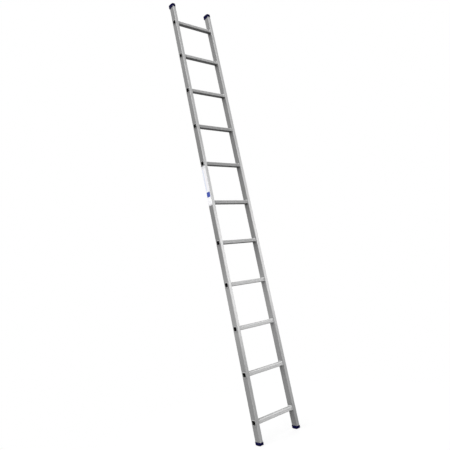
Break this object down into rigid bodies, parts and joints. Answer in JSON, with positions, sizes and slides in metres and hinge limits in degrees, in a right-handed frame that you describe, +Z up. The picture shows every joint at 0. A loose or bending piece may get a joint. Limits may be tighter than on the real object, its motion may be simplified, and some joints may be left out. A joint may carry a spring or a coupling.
{
  "type": "single section ladder",
  "caption": "Leaning single section ladder: hollow aluminium box stiles joined by swaged square rungs, with plastic feet and top caps.",
  "frame": {"origin": "on the floor, midway between the feet", "axes": "+Z up along the stiles, +X to the right seen from the climbing side, +Y from the climbing side to the side that leans on the wall"},
  "size_m": [0.3648, 0.0544, 3.0929],
  "materials": {
    "stile_aluminium": "mill satin",
    "rung_aluminium": "mill satin",
    "end_plastic": "moulded",
    "label_film": "bare film"
  },
  "bodies": {
    "root": {"left_stile": "stile_aluminium", "left_foot": "end_plastic", "left_top_cap": "end_plastic", "right_stile": "stile_aluminium", "right_foot": "end_plastic", "right_top_cap": "end_plastic", "rung_01": "rung_aluminium", "rung_02": "rung_aluminium", "rung_03": "rung_aluminium", "rung_04": "rung_aluminium", "rung_05": "rung_aluminium", "rung_06": "rung_aluminium", "rung_07": "rung_aluminium", "rung_08": "rung_aluminium", "rung_09": "rung_aluminium", "rung_10": "rung_aluminium", "rung_11": "rung_aluminium", "stile_label": "label_film"}
  },
  "joints": []
}
